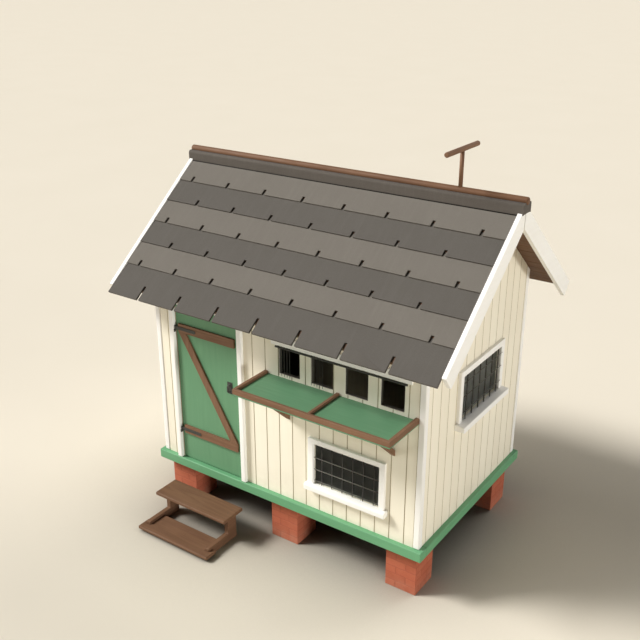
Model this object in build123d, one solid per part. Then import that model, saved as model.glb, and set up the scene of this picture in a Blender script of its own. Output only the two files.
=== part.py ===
from build123d import *
import os
from math import atan2, ceil, cos, floor, radians, sin, tan

# A timber pigeon loft on brick piers, in millimetres. X runs along the front wall,
# +Y to the back and +Z up. Everything is modelled about the loft's own centre line,
# and moved back at the end so that the origin lies under the middle of the whole
# outline, on the ground.

# Piers and base frame
pier_height = 443.0
pier_side = 304.0
pier_end_inset = 82.0
pier_front_inset = 95.0
sill_height = 92.0
sill_beam = 110.0
sill_ledge = 46.0
joist_width = 45.0
joist_height = 80.0
joist_count = 5
floor_thickness = 22.0

# Walls, measured over the cladding
loft_length = 2912.0
loft_width = 1952.0
wall_height = 1953.0
wall_thickness = 45.0
corner_post = 58.0
corner_proud = 6.0

# Roof
roof_pitch = 39.2
eave_reach = 329.0
rake_reach = 257.0
deck_thickness = 45.0
deck_setback = 102.0
course_count = 6
shingle_thickness = 14.0
head_thickness = 8.0
head_lap = 50.0
eave_course_gauge = 336.6
ridge_setback = 89.0
shingle_width = 437.0
slot_width = 28.0
slot_shift = -28.0
slot_length = 60.0
eave_slot_length = 150.0
slot_end_margin = 120.0
barge_thickness = 37.0
barge_depth = 156.0
barge_rise = 21.0
barge_setback = 80.0
barge_gap = 14.0

# Ridge
cap_half_width = 76.0
cap_top_above_apex = 45.0
cap_overrun = 46.0
cap_round = 24.0
cap_edge_gap = 8.0
pole_radius = 32.0
pole_sink = 21.0
pole_overrun = 55.0
seat_clearance = 0.3
perch_from_rake = 545.0
perch_post_radius = 18.0
perch_bar_radius = 22.0
perch_bar_length = 575.0
perch_height = 308.0

# Door
door_from_end = 251.0
door_width = 760.0
door_head_room = 299.0
leaf_gap = 6.0
leaf_lift = 8.0
leaf_thickness = 28.0
trim_width = 56.0
trim_proud = 40.0
ledge_height = 88.0
ledge_thickness = 20.0
ledge_margin = 36.0
ledge_bottom_centre = 333.0
ledge_top_drop = 240.0
brace_width = 87.0
brace_inset = 2.0
strap_length = 247.0
strap_height = 32.0
strap_thickness = 5.0
strap_drop = 2.0
strap_tip = 10.0
pin_radius = 6.0
pin_clearance = 0.3
eye_radius = 9.0
eye_to_trim = 4.0
cup_height = 14.0
pin_stand = 6.0
pin_plate_height = 32.0
pin_plate_width = 24.0
pin_plate_thickness = 3.0
stop_depth = 12.0
stop_cover = 18.0
handle_plate_width = 58.0
handle_plate_height = 118.0
handle_plate_thickness = 5.0
handle_from_edge = 117.0
handle_above_sill = 946.0
handle_grip_width = 14.0
handle_grip_thickness = 8.0
handle_grip_reach = 34.0
handle_grip_slope = 14.0
handle_grip_span = 84.0

# Pigeon openings, their head board and the rail that carries the drop wires
opening_end_margin = 145.0
opening_shift = 8.0
opening_count = 4
opening_width = 226.0
opening_height = 252.0
opening_sill = 1258.0
head_board_height = 86.0
head_board_proud = 20.0
head_board_gap = 23.0
head_board_overrun = 70.0
rail_radius = 9.0
rail_stand = 14.0
rail_overrun = 25.0
rail_peg_radius = 5.0
wire_sets = 2
wires_per_set = 5
wire_first = 12.0
wire_spacing = 29.0
wire_radius = 2.0
wire_drop = 8.0
wire_ring_wall = 2.2
wire_ring_width = 5.0

# Landing board
landing_from_trim = 242.0
landing_depth = 458.0
landing_thickness = 10.0
landing_top = 1203.0
lip_thickness = 30.0
lip_height = 50.0
lip_rebate = 25.0
strut_width = 42.0
strut_depth = 42.0
strut_reach = 390.0
strut_drop = 364.0
strut_inset = 215.0
strut_shift = 9.0

# Windows: frame boards lie on the cladding round a plain opening
frame_width = 58.0
frame_proud = 30.0
window_sill_height = 60.0
window_sill_ear = 24.0
window_sill_fall = 8.0
front_window_width = 676.0
front_window_height = 410.0
front_window_from_end = 730.0
front_window_sill = 276.0
front_window_head = 52.0
front_sill_proud = 66.0
gable_window_width = 756.0
gable_window_height = 427.0
gable_window_centre = 30.0
gable_window_sill = 956.0
gable_window_head = 62.0
gable_sill_proud = 96.0

# Steps
step_width = 876.0
step_shift = 10.0
step_back_gap = 66.0
tread_depth = 278.0
tread_thickness = 35.0
upper_tread_top = 300.0
lower_tread_top = 58.0
lower_tread_front = 263.0
runner_thickness = 45.0
runner_height = 88.0
runner_nose = 80.0
runner_inset = 41.0
leg_depth = 120.0
leg_back_inset = 57.0

# Derived places
sill_top = pier_height + sill_height
wall_x = loft_length / 2
wall_y = loft_width / 2
sill_x = wall_x + sill_ledge
sill_y = wall_y + sill_ledge
inner_x = wall_x - wall_thickness
inner_y = wall_y - wall_thickness
post_x = wall_x + corner_proud
post_y = wall_y + corner_proud
pitch = radians(roof_pitch)
rise = tan(pitch)
deck_drop = deck_thickness / cos(pitch)
wall_top = sill_top + wall_height
deck_apex = wall_top + wall_y * rise + deck_drop
eave_y = wall_y + eave_reach
roof_x = wall_x + rake_reach
perch_x = roof_x - perch_from_rake
slope_length = eave_y / cos(pitch)
course_gauge = (slope_length - ridge_setback - eave_course_gauge) / (course_count - 1)
door_left = -wall_x + door_from_end
door_right = door_left + door_width
door_centre = (door_left + door_right) / 2
door_top = sill_top + wall_height - door_head_room
ledge_middles = [sill_top + ledge_bottom_centre, door_top - ledge_top_drop]
leaf_left = door_left + leaf_gap
leaf_right = door_right - leaf_gap
leaf_bottom = sill_top + leaf_lift
leaf_top = door_top - leaf_gap
ledge_face = wall_y + ledge_thickness
hinge_x = door_left + eye_to_trim + eye_radius
hinge_y = -(ledge_face + strap_thickness / 2)
landing_left = door_right + trim_width + landing_from_trim
landing_right = post_x - corner_post
landing_half = (landing_right - landing_left) / 2
front_centre = (landing_left + landing_right) / 2
openings_centre = front_centre + opening_shift
opening_pitch = (2 * (landing_half - opening_end_margin) - opening_width) / (opening_count - 1)
front_window_centre = wall_x - front_window_from_end
opening_lefts = [
    openings_centre + (i - (opening_count - 1) / 2) * opening_pitch - opening_width / 2
    for i in range(opening_count)
]
opening_bottom = sill_top + opening_sill
opening_top = opening_bottom + opening_height
rail_y = -(wall_y + rail_stand)
rail_z = opening_top + rail_radius
landing_z = sill_top + landing_top
step_centre = door_centre + step_shift
step_back = sill_y + step_back_gap
step_front = step_back + tread_depth + lower_tread_front
back_reach = eave_y + (head_thickness + shingle_thickness) * sin(pitch)
loft_shift = (step_front - back_reach) / 2


def box(x0, x1, y0, y1, z0, z1):
    return Pos((x0 + x1) / 2, (y0 + y1) / 2, (z0 + z1) / 2) * Box(x1 - x0, y1 - y0, z1 - z0)


def prism_x(points, x0, x1):
    """A solid whose outline is given as (y, z) points, running along X."""
    outline = Polyline(*[(x0, y, z) for y, z in points], close=True)
    return extrude(make_face(outline), amount=x1 - x0, dir=(1, 0, 0))


def prism_y(points, y0, y1):
    """A solid whose outline is given as (x, z) points, running along Y."""
    outline = Polyline(*[(x, y0, z) for x, z in points], close=True)
    return extrude(make_face(outline), amount=y1 - y0, dir=(0, 1, 0))


def prism_z(points, z0, z1):
    """A solid whose outline is given as (x, y) points, running up."""
    outline = Polyline(*[(x, y, z0) for x, y in points], close=True)
    return extrude(make_face(outline), amount=z1 - z0, dir=(0, 0, 1))


def rod(start, end, radius):
    """A round bar from one point to another."""
    a = Vector(*start)
    b = Vector(*end)
    place = Plane(origin=a, z_dir=b - a)
    return place * Cylinder(radius, (b - a).length, align=(Align.CENTER, Align.CENTER, Align.MIN))


def soffit(y):
    """The height of the deck's underside."""
    return deck_apex - deck_drop - abs(y) * rise


def slope_point(along, above, side=-1):
    """A (y, z) point on a roof slope: along it from the eave, and above the deck."""
    y = eave_y - along * cos(pitch) + above * sin(pitch)
    z = deck_apex - eave_y * rise + along * sin(pitch) + above * cos(pitch)
    return (side * y, z)


def both_sides(solid):
    """A piece and its mirror image across the middle of the loft's width."""
    return [solid, mirror(solid, about=Plane.XZ)]


def both_ends(solid):
    """A piece and its mirror image across the middle of the loft's length."""
    return [solid, mirror(solid, about=Plane.YZ)]


def all_four(solid):
    """A piece and its copies in the other three corners."""
    return [copy for end in both_ends(solid) for copy in both_sides(end)]


def brick_piers():
    x_out = sill_x - pier_end_inset
    y_out = sill_y - pier_front_inset
    solids = []
    for x in (-x_out + pier_side / 2, 0, x_out - pier_side / 2):
        for y in (-y_out + pier_side / 2, y_out - pier_side / 2):
            solids.append(Pos(x, y, pier_height / 2) * Box(pier_side, pier_side, pier_height))
    return solids


def base_long_beams():
    return both_sides(box(-sill_x, sill_x, sill_y - sill_beam, sill_y, pier_height, sill_top))


def base_end_beams():
    y = sill_y - sill_beam
    return both_ends(box(sill_x - sill_beam, sill_x, -y, y, pier_height, sill_top))


def floor_joists():
    y = sill_y - sill_beam
    span = 2 * (sill_x - sill_beam)
    solids = []
    for i in range(joist_count):
        x = -span / 2 + (i + 1) * span / (joist_count + 1)
        solids.append(box(x - joist_width / 2, x + joist_width / 2, -y, y, sill_top - joist_height, sill_top))
    return solids


def floor_boards():
    """Laid inside the walls and notched round the corner posts."""
    top = sill_top + floor_thickness
    boards = box(-inner_x, inner_x, -inner_y, inner_y, sill_top, top)
    x = post_x - corner_post
    y = post_y - corner_post
    for x0, x1 in ((-post_x, -x), (x, post_x)):
        for y0, y1 in ((-post_y, -y), (y, post_y)):
            boards -= box(x0, x1, y0, y1, sill_top, top)
    return boards


def front_section(x0, x1, z0):
    """A length of the front wall, from z0 up to the deck."""
    outline = [(-wall_y, z0), (-inner_y, z0), (-inner_y, soffit(inner_y)), (-wall_y, soffit(wall_y))]
    return prism_x(outline, x0, x1)


def wall_end():
    """Where the front and back walls stop against the corner posts."""
    return post_x - corner_post


def front_wall_left():
    return front_section(-wall_end(), door_left, sill_top)


def front_wall_over_door():
    return front_section(door_left, door_right, door_top)


def front_wall_right():
    wall = front_section(door_right, wall_end(), sill_top)
    for left in opening_lefts:
        wall -= box(left, left + opening_width, -post_y, 0, opening_bottom, opening_top)
    half = front_window_width / 2
    bottom = sill_top + front_window_sill
    wall -= box(
        front_window_centre - half, front_window_centre + half, -post_y, 0, bottom, bottom + front_window_height
    )
    return wall


def back_wall():
    return mirror(front_section(-wall_end(), wall_end(), sill_top), about=Plane.XZ)


def gable_wall():
    """The right gable wall, between its posts, with its window."""
    y = post_y - corner_post
    outline = [(-y, sill_top), (y, sill_top), (y, soffit(y)), (0, soffit(0)), (-y, soffit(y))]
    wall = prism_x(outline, inner_x, wall_x)
    half = gable_window_width / 2
    bottom = sill_top + gable_window_sill
    wall -= box(
        0, post_x, gable_window_centre - half, gable_window_centre + half, bottom, bottom + gable_window_height
    )
    return wall


def corner_posts():
    """Four posts, their tops cut to the slope of the deck."""
    y_in = post_y - corner_post
    outline = [(post_y, sill_top), (y_in, sill_top), (y_in, soffit(y_in)), (post_y, soffit(post_y))]
    return all_four(prism_x(outline, post_x - corner_post, post_x))


def roof_deck(side):
    """One slope of boarding, mitred to the other at the ridge."""
    low = deck_setback
    outline = [
        slope_point(low, 0, side),
        (0, deck_apex),
        (0, deck_apex - deck_drop),
        slope_point(low, -deck_thickness, side),
    ]
    return prism_x(outline, -roof_x, roof_x)


def course_start(course):
    """How far up the slope a course's lower edge lies. Course 0 is at the eave."""
    return 0.0 if course == 0 else eave_course_gauge + (course - 1) * course_gauge


def slot_places(course):
    """Slots lie between shingles, and are staggered by half a shingle in each course."""
    top_course = course_count - 1
    staggered = (top_course - course) % 2 == 0
    offset = shingle_width / 2 if staggered else 0.0
    reach = roof_x - slot_end_margin
    first = ceil((-reach - offset) / shingle_width)
    last = floor((reach - offset) / shingle_width)
    return [offset + i * shingle_width for i in range(first, last + 1)]


def shingle_course(course):
    """One lapped course of the front slope: a wedge that rides on the head of the course below."""
    start = course_start(course)
    end = course_start(course + 1)
    seat = 0.0 if course == 0 else head_thickness
    outline = [
        slope_point(start, seat),
        slope_point(start, head_thickness + shingle_thickness),
        slope_point(end, head_thickness),
        slope_point(end + head_lap, 0),
    ]
    if course > 0:
        outline.append(slope_point(start + head_lap, 0))
    wedge = prism_x(outline, -roof_x, roof_x)
    reach = eave_slot_length if course == 0 else slot_length
    over = 2 * (head_thickness + shingle_thickness)
    cut_outline = [
        slope_point(start - over, -over),
        slope_point(start - over, over),
        slope_point(start + reach, over),
        slope_point(start + reach, -over),
    ]
    for place in slot_places(course):
        x = place + slot_shift
        wedge -= prism_x(cut_outline, x - slot_width / 2, x + slot_width / 2)
    return wedge


def shingle_courses(first):
    """Every second course on both slopes, from the one that is named."""
    courses = range(first, course_count, 2)
    return [solid for course in courses for solid in both_sides(shingle_course(course))]


def barge_edge(above, y):
    """The height at y of a line that runs along the back slope, above the deck."""
    return deck_apex + above / cos(pitch) - y * rise


def bargeboards():
    """The boards that close both ends of each slope, with a gap between them at the ridge."""
    top = barge_rise
    low = barge_rise - barge_depth
    half_gap = barge_gap / 2
    outline = [
        slope_point(barge_setback, top, 1),
        (half_gap, barge_edge(top, half_gap)),
        (half_gap, barge_edge(low, half_gap)),
        slope_point(barge_setback, low, 1),
    ]
    return all_four(prism_x(outline, roof_x, roof_x + barge_thickness))


def top_course_surface(y):
    """The height of the top course's face, or of the deck above its head."""
    start = course_start(course_count - 1)
    end = start + course_gauge
    foot = slope_point(start, head_thickness + shingle_thickness, 1)
    head = slope_point(end, head_thickness, 1)
    slope = (head[1] - foot[1]) / (head[0] - foot[0])
    return foot[1] + (y - foot[0]) * slope


def ridge_cap():
    """A rounded capping that rests on the heads of the top courses, its edges just clear of them.

    It is grooved for the pole, and closed past the bargeboards."""
    end = course_start(course_count - 1) + course_gauge
    head = slope_point(end, head_thickness, 1)
    tip = slope_point(end + head_lap, 0, 1)
    edge = top_course_surface(cap_half_width) + cap_edge_gap
    top = deck_apex + cap_top_above_apex
    right = [(cap_half_width, edge), (cap_half_width, top)]
    under = [tip, head] if head[0] < cap_half_width else [tip]
    left = [(-y, z) for y, z in reversed(right)]
    under_left = [(-y, z) for y, z in reversed(under)]
    outline = right + left + under_left + [(0, deck_apex)] + under
    length = roof_x + cap_overrun
    board_face = roof_x + barge_thickness
    cap = prism_x(outline, -length, length)
    for closing in both_ends(box(board_face, length, -cap_half_width, cap_half_width, edge, deck_apex)):
        cap += closing
    crown = cap.edges().filter_by(Axis.X).group_by(Axis.Z)[-1]
    cap = fillet(crown, cap_round)
    cap -= rod((-length, 0, pole_z()), (length, 0, pole_z()), pole_radius + seat_clearance)
    low = deck_apex - 2 * cap_half_width * rise
    half_gap = barge_gap / 2
    over = cap_half_width + cap_round
    right_seat = [(half_gap, barge_edge(barge_rise, half_gap)), (over, barge_edge(barge_rise, over)), (over, low)]
    left_seat = [(-y, z) for y, z in reversed(right_seat)]
    for seat in both_ends(prism_x(right_seat + left_seat, roof_x, board_face)):
        cap -= seat
    return cap


def pole_z():
    return deck_apex + cap_top_above_apex + pole_radius - pole_sink


def ridge_pole():
    length = roof_x + pole_overrun
    return rod((-length, 0, pole_z()), (length, 0, pole_z()), pole_radius)


def perch_z():
    return pole_z() + pole_radius + perch_height


def perch_bar():
    half = perch_bar_length / 2
    return rod((perch_x, -half, perch_z()), (perch_x, half, perch_z()), perch_bar_radius)


def perch_post():
    """Its foot is hollowed to sit on the pole, and its head to hold the bar."""
    post = rod((perch_x, 0, pole_z()), (perch_x, 0, perch_z()), perch_post_radius)
    return post - ridge_pole() - perch_bar()


def door_leaf():
    return box(leaf_left, leaf_right, -wall_y, -wall_y + leaf_thickness, leaf_bottom, leaf_top)


def ledge_span(middle):
    return middle - ledge_height / 2, middle + ledge_height / 2


def door_ledges():
    solids = []
    for middle in ledge_middles:
        low, high = ledge_span(middle)
        solids.append(box(leaf_left + ledge_margin, leaf_right - ledge_margin, -ledge_face, -wall_y, low, high))
    return solids


def door_brace():
    low = ledge_span(ledge_middles[0])[1]
    high = ledge_span(ledge_middles[1])[0]
    left = leaf_left + ledge_margin + brace_inset
    right = leaf_right - ledge_margin
    outline = [(left, high), (left + brace_width, high), (right, low), (right - brace_width, low)]
    return prism_y(outline, -ledge_face, -wall_y)


def hinge_straps():
    """Each strap ends in an eye that turns on its pin."""
    solids = []
    for middle in ledge_middles:
        z = middle - strap_drop
        low = z - strap_height / 2
        high = z + strap_height / 2
        end = hinge_x + strap_length
        outline = [
            (hinge_x, low),
            (end - strap_tip, low),
            (end, low + strap_tip),
            (end, high - strap_tip),
            (end - strap_tip, high),
            (hinge_x, high),
        ]
        strap = prism_y(outline, -ledge_face - strap_thickness, -ledge_face)
        strap += rod((hinge_x, hinge_y, low), (hinge_x, hinge_y, high), eye_radius)
        strap -= rod((hinge_x, hinge_y, low), (hinge_x, hinge_y, high), pin_radius + pin_clearance)
        solids.append(strap)
    return solids


def hinge_pins():
    """A pin on a cup, held out from the trim by a plate."""
    solids = []
    for middle in ledge_middles:
        eye_low = middle - strap_drop - strap_height / 2
        eye_high = eye_low + strap_height
        cup_top = eye_low - pin_clearance
        cup_low = cup_top - cup_height
        plate_face = door_left + pin_plate_thickness
        half_plate = pin_plate_width / 2
        plate = box(
            door_left, plate_face, hinge_y - half_plate, hinge_y + half_plate, cup_top - pin_plate_height, cup_top
        )
        neck = box(door_left, hinge_x, hinge_y - pin_radius, hinge_y + pin_radius, cup_low, cup_top)
        cup = rod((hinge_x, hinge_y, cup_low), (hinge_x, hinge_y, cup_top), eye_radius)
        pin = rod((hinge_x, hinge_y, cup_low), (hinge_x, hinge_y, eye_high + pin_stand), pin_radius)
        solids.append(plate + neck + cup + pin)
    return solids


def door_handle():
    """A plate with a bowed grip."""
    x = leaf_right - handle_from_edge
    z = sill_top + handle_above_sill
    face = -wall_y - handle_plate_thickness
    half_width = handle_plate_width / 2
    half_height = handle_plate_height / 2
    plate = box(x - half_width, x + half_width, face, -wall_y, z - half_height, z + half_height)
    half_span = handle_grip_span / 2
    out = face - handle_grip_reach
    bend = half_span - handle_grip_slope
    inner_bend = bend - handle_grip_thickness / 2
    outline = [
        (face, z - half_span),
        (out, z - bend),
        (out, z + bend),
        (face, z + half_span),
        (face, z + half_span - handle_grip_thickness),
        (out + handle_grip_thickness, z + inner_bend),
        (out + handle_grip_thickness, z - inner_bend),
        (face, z - half_span + handle_grip_thickness),
    ]
    return plate + prism_x(outline, x - handle_grip_width / 2, x + handle_grip_width / 2)


def door_side_trims():
    face = -wall_y - trim_proud
    left = box(door_left - trim_width, door_left, face, -wall_y, sill_top, door_top)
    right = box(door_right, door_right + trim_width, face, -wall_y, sill_top, door_top)
    return [left, right]


def door_head_trim():
    face = -wall_y - trim_proud
    return box(door_left - trim_width, door_right + trim_width, face, -wall_y, door_top, door_top + trim_width)


def door_stops():
    """The rebate strips that the closed leaf meets, round three sides of the doorway."""
    y0 = -inner_y - stop_depth
    outer = box(door_left, door_right, y0, -inner_y, sill_top, door_top)
    inner = box(door_left + stop_cover, door_right - stop_cover, y0, -inner_y, sill_top, door_top - stop_cover)
    return outer - inner


def opening_head_board():
    half = (opening_count - 1) / 2 * opening_pitch + opening_width / 2 + head_board_overrun
    low = opening_top + head_board_gap
    face = -wall_y - head_board_proud
    return box(openings_centre - half, openings_centre + half, face, -wall_y, low, low + head_board_height)


def drop_wire_rail():
    """A round rail held off the wall by pegs between the openings."""
    half = (opening_count - 1) / 2 * opening_pitch + opening_width / 2 + rail_overrun
    rail = rod((openings_centre - half, rail_y, rail_z), (openings_centre + half, rail_y, rail_z), rail_radius)
    gap = opening_pitch - opening_width
    pegs = [openings_centre - half + rail_overrun / 2, openings_centre + half - rail_overrun / 2]
    pegs += [left - gap / 2 for left in opening_lefts[1:]]
    for x in pegs:
        rail += rod((x, rail_y, rail_z), (x, -wall_y, rail_z), rail_peg_radius)
    return rail


def drop_wires(number):
    """The free-hanging wires of one opening, each looped over the rail."""
    left = opening_lefts[number]
    inner = rail_radius + pin_clearance
    outer = inner + wire_ring_wall
    half = wire_ring_width / 2
    solids = []
    for i in range(wires_per_set):
        x = left + wire_first + i * wire_spacing
        ring = rod((x - half, rail_y, rail_z), (x + half, rail_y, rail_z), outer)
        ring += rod((x, rail_y, rail_z), (x, rail_y, opening_bottom - wire_drop), wire_radius)
        ring -= rod((x - half, rail_y, rail_z), (x + half, rail_y, rail_z), inner)
        solids.append(ring)
    return solids


def landing_board():
    """A board rebated along three edges, where the lips are let in."""
    front = -wall_y - landing_depth
    board = box(landing_left, landing_right, front, -wall_y, landing_z - landing_thickness, landing_z)
    left = landing_left + lip_thickness
    right = landing_right - lip_thickness
    return board + box(left, right, front + lip_thickness, -wall_y, landing_z, landing_z + lip_rebate)


def landing_front_lip():
    front = -wall_y - landing_depth
    return box(landing_left, landing_right, front, front + lip_thickness, landing_z, landing_z + lip_height)


def lip_across(x0, z0):
    """A lip that stands on the board at z0, from the wall to the front lip."""
    front = -wall_y - landing_depth + lip_thickness
    return box(x0, x0 + lip_thickness, front, -wall_y, z0, landing_z + lip_height)


def landing_side_lips():
    return [lip_across(landing_left, landing_z), lip_across(landing_right - lip_thickness, landing_z)]


def landing_divider():
    return lip_across(front_centre - lip_thickness / 2, landing_z + lip_rebate)


def landing_struts():
    """Sloping struts, cut flat where they meet the wall and the board."""
    top = landing_z - landing_thickness
    foot = top - strut_drop
    tip = -wall_y - strut_reach
    angle = atan2(strut_drop, strut_reach)
    along_wall = strut_depth / cos(angle)
    along_board = strut_depth / sin(angle)
    outline = [(-wall_y, foot), (-wall_y, foot + along_wall), (tip + along_board, top), (tip, top)]
    solids = []
    left = landing_left + strut_inset + strut_shift
    right = landing_right - strut_inset - strut_width + strut_shift
    for x in (left, right):
        solids.append(prism_x(outline, x, x + strut_width))
    return solids


def window_frame(width, height, head):
    """Head and jambs round an opening whose sill is centred on the origin, facing -Y."""
    half = width / 2
    outer = half + frame_width
    ring = box(-outer, outer, -frame_proud, 0, 0, height + head)
    return ring - box(-half, half, -frame_proud, 0, 0, height)


def window_sill(width, proud):
    """The projecting sill below the frame, with its ears and a weathered top in front."""
    half = width / 2 + frame_width + window_sill_ear
    outline = [
        (0, 0),
        (-frame_proud, 0),
        (-proud, -window_sill_fall),
        (-proud, -window_sill_height),
        (0, -window_sill_height),
    ]
    return prism_x(outline, -half, half)


def on_front(piece):
    return Pos(front_window_centre, -wall_y, sill_top + front_window_sill) * piece


def on_gable(piece):
    return Pos(wall_x, gable_window_centre, sill_top + gable_window_sill) * Rot(0, 0, 90) * piece


def upper_step_tread():
    half = step_width / 2
    return box(
        step_centre - half,
        step_centre + half,
        -step_back - tread_depth,
        -step_back,
        upper_tread_top - tread_thickness,
        upper_tread_top,
    )


def leg_back():
    return step_back + leg_back_inset


def lower_step_tread():
    """Slotted from behind for the runners, whose noses stop short of its front edge."""
    half = step_width / 2
    outside = half - runner_inset
    between = outside - runner_thickness
    shoulder = step_front - runner_nose
    back = step_front - tread_depth
    outline = [
        (step_centre - half, -step_front),
        (step_centre + half, -step_front),
        (step_centre + half, -back),
        (step_centre + outside, -back),
        (step_centre + outside, -shoulder),
        (step_centre + between, -shoulder),
        (step_centre + between, -back),
        (step_centre - between, -back),
        (step_centre - between, -shoulder),
        (step_centre - outside, -shoulder),
        (step_centre - outside, -back),
        (step_centre - half, -back),
    ]
    return prism_z(outline, lower_tread_top - tread_thickness, lower_tread_top)


def step_cheeks():
    """Each cheek is a runner on the ground and the leg that holds the upper tread."""
    half = step_width / 2 - runner_inset
    nose = step_front - runner_nose
    leg_front = leg_back() + leg_depth
    outline = [
        (-nose, 0),
        (-leg_back(), 0),
        (-leg_back(), upper_tread_top - tread_thickness),
        (-leg_front, upper_tread_top - tread_thickness),
        (-leg_front, runner_height),
        (-nose, runner_height),
    ]
    left = prism_x(outline, step_centre - half, step_centre - half + runner_thickness)
    right = prism_x(outline, step_centre + half - runner_thickness, step_centre + half)
    return [left, right]


def write(name, made):
    solids = made if isinstance(made, list) else [made]
    placed = [Pos(0, loft_shift, 0) * solid for solid in solids]
    shape = placed[0] if len(placed) == 1 else Compound(children=placed)
    shape.label = name
    export_step(shape, "parts/" + name + ".step")


os.makedirs("parts", exist_ok=True)

write("brick_piers", brick_piers())
write("base_long_beams", base_long_beams())
write("base_end_beams", base_end_beams())
write("floor_joists", floor_joists())
write("floor_boards", floor_boards())
write("front_wall_left", front_wall_left())
write("front_wall_over_door", front_wall_over_door())
write("front_wall_right", front_wall_right())
write("back_wall", back_wall())
write("right_gable_wall", gable_wall())
write("left_gable_wall", mirror(gable_wall(), about=Plane.YZ))
write("corner_posts", corner_posts())
write("front_roof_deck", roof_deck(-1))
write("back_roof_deck", roof_deck(1))
write("dark_shingles", shingle_courses(0))
write("light_shingles", shingle_courses(1))
write("bargeboards", bargeboards())
write("ridge_cap", ridge_cap())
write("ridge_pole", ridge_pole())
write("perch_post", perch_post())
write("perch_bar", perch_bar())
write("door_leaf", door_leaf())
write("door_ledges", door_ledges())
write("door_brace", door_brace())
write("hinge_straps", hinge_straps())
write("hinge_pins", hinge_pins())
write("door_handle", door_handle())
write("door_side_trims", door_side_trims())
write("door_head_trim", door_head_trim())
write("door_stops", door_stops())
write("opening_head_board", opening_head_board())
write("drop_wire_rail", drop_wire_rail())
for number in range(wire_sets):
    write("drop_wires_" + str(number + 1), drop_wires(number))
write("landing_board", landing_board())
write("landing_front_lip", landing_front_lip())
write("landing_side_lips", landing_side_lips())
write("landing_divider", landing_divider())
write("landing_struts", landing_struts())
write("front_window_frame", on_front(window_frame(front_window_width, front_window_height, front_window_head)))
write("front_window_sill", on_front(window_sill(front_window_width, front_sill_proud)))
gable_frame = window_frame(gable_window_width, gable_window_height, gable_window_head)
gable_sill = window_sill(gable_window_width, gable_sill_proud)
write("gable_window_frames", both_ends(on_gable(gable_frame)))
write("gable_window_sills", both_ends(on_gable(gable_sill)))
write("step_treads", [upper_step_tread(), lower_step_tread()])
write("step_cheeks", step_cheeks())
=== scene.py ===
from math import ceil, cos, floor, pi, radians, sin
from random import Random

import bmesh
import bpy
from mathutils import Matrix, Vector


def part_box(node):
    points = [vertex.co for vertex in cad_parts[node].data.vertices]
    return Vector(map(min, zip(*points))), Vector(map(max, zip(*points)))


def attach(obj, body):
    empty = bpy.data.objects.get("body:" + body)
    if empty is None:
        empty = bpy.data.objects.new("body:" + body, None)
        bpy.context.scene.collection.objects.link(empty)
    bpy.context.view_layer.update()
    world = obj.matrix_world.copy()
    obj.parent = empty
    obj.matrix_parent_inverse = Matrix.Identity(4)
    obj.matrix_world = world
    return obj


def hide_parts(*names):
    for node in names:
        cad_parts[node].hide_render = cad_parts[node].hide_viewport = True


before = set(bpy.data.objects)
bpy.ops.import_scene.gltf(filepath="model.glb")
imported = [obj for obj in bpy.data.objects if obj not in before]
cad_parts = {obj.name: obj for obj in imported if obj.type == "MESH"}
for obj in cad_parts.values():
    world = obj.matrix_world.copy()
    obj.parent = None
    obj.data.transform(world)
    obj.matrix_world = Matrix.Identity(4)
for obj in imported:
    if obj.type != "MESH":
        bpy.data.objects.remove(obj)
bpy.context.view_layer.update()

# The looks of a timber dovecote: painted boards with open V joints, mineral-faced
# shingles, oiled brown timber, bricks and ironwork. Metres, +Z up, +Y to the back.

# Places read from the frame
wall_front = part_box("front_wall_left")[0].y
wall_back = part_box("back_wall")[1].y
wall_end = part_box("right_gable_wall")[1].x
middle_y = (wall_front + wall_back) / 2
pole_low, pole_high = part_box("ridge_pole")
pole_y = (pole_low.y + pole_high.y) / 2
pole_z = (pole_low.z + pole_high.z) / 2
pole_radius = (pole_high.y - pole_low.y) / 2
perch_low, perch_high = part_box("perch_bar")
perch_x = (perch_low.x + perch_high.x) / 2
perch_z = (perch_low.z + perch_high.z) / 2
perch_radius = (perch_high.x - perch_low.x) / 2
post_radius = (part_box("perch_post")[1].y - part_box("perch_post")[0].y) / 2
pier_low, pier_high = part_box("brick_piers")
ledge_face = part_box("door_ledges")[0].y
tread_low, tread_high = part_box("step_treads")
cheek_low, cheek_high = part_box("step_cheeks")

# Tolerances for joining and finding faces. A face whose cosine is below turned_away looks the other way
weld_distance = 0.00002
plane_tolerance = 0.0004
sharp_angle = radians(30)
flat_angle = radians(1)
turned_away = -0.9

# Boards: their width, one known joint, the groove between them and how deep the cream paint goes in a
# reveal; past that depth the reveal is coloured dark as painted shade.
# The narrowest board at the end of a row is given as a share of a whole one
front_board = 0.1454
front_joint = 0.291
gable_board = 0.147
gable_joint = middle_y - 0.857
cladding_groove = 0.0045
front_reveal = 0.010
gable_reveal = 0.016
roof_pitch = radians(39.2)
deck_thickness = 0.045
deck_board = 0.121
deck_groove = 0.004
floor_board = 0.121
floor_groove = 0.0025
narrowest_board = 0.02

# A dark bead in the gap under each edge of the ridge capping, a painted shadow line along the capping's
# edges
shadow_bead_radius = 0.0055
shadow_bead_drop = 0.004

# Round timber on the ridge: its eased rims, and where the post ends, in radii of the pole and the bar
pole_rim = 0.014
perch_rim = 0.009
post_foot = 0.8
post_head = 0.5

# Bricks: four to a course, laid like a pinwheel round a mortar core
pier_side = 0.304
brick_joint = 0.005
brick_width = 0.0995
brick_courses = 6
brick_edge = 0.003
mortar_recess = 0.0016

# Steps: where the lower tread is cut back, and its nails in from the runners' faces and back ends
tread_shoulder = 0.138
nail_inset = 0.022
nails_from_back = (0.030, 0.090)

# Window openings inside their frames
window_jamb = 0.058
front_head = 0.052
gable_head = 0.062

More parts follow.
